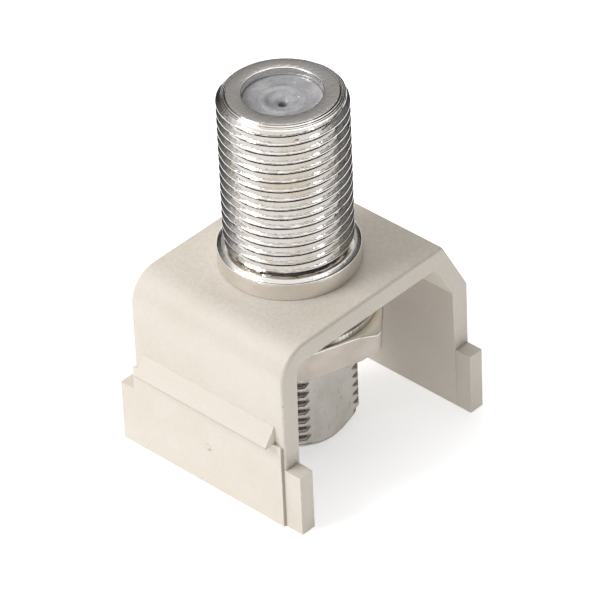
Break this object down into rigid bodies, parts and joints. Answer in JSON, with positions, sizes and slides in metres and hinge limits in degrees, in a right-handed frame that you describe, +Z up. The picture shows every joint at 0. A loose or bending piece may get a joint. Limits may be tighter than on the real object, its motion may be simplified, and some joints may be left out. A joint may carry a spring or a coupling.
{
  "type": "coaxial keystone module",
  "caption": "Snap-in U-shaped keystone saddle with a double-female threaded coaxial coupler, clamped through its top plate by a collar, washers and a hex nut.",
  "frame": {"origin": "centre of the footprint, on the surface that the two feet stand on", "axes": "+Z up along the coupler's barrel, -Y towards the open front, +X from the rounded shoulder to the bevelled one"},
  "size_m": [0.0216, 0.0176, 0.0296],
  "materials": {
    "ivory_plastic": "fine satin moulding",
    "plated_body": "satin nickel plating over turned metal",
    "plated_fixings": "dull nickel plating",
    "insulator_plastic": "translucent waxy white",
    "contact_metal": "bright tinned spring metal"
  },
  "bodies": {
    "root": {"bracket": "ivory_plastic", "coupler_body": "plated_body", "spacer_washer": "plated_fixings", "lock_washer": "plated_fixings", "hex_nut": "plated_fixings", "upper_insulator": "insulator_plastic", "lower_insulator": "insulator_plastic", "centre_contact": "contact_metal"}
  },
  "joints": []
}
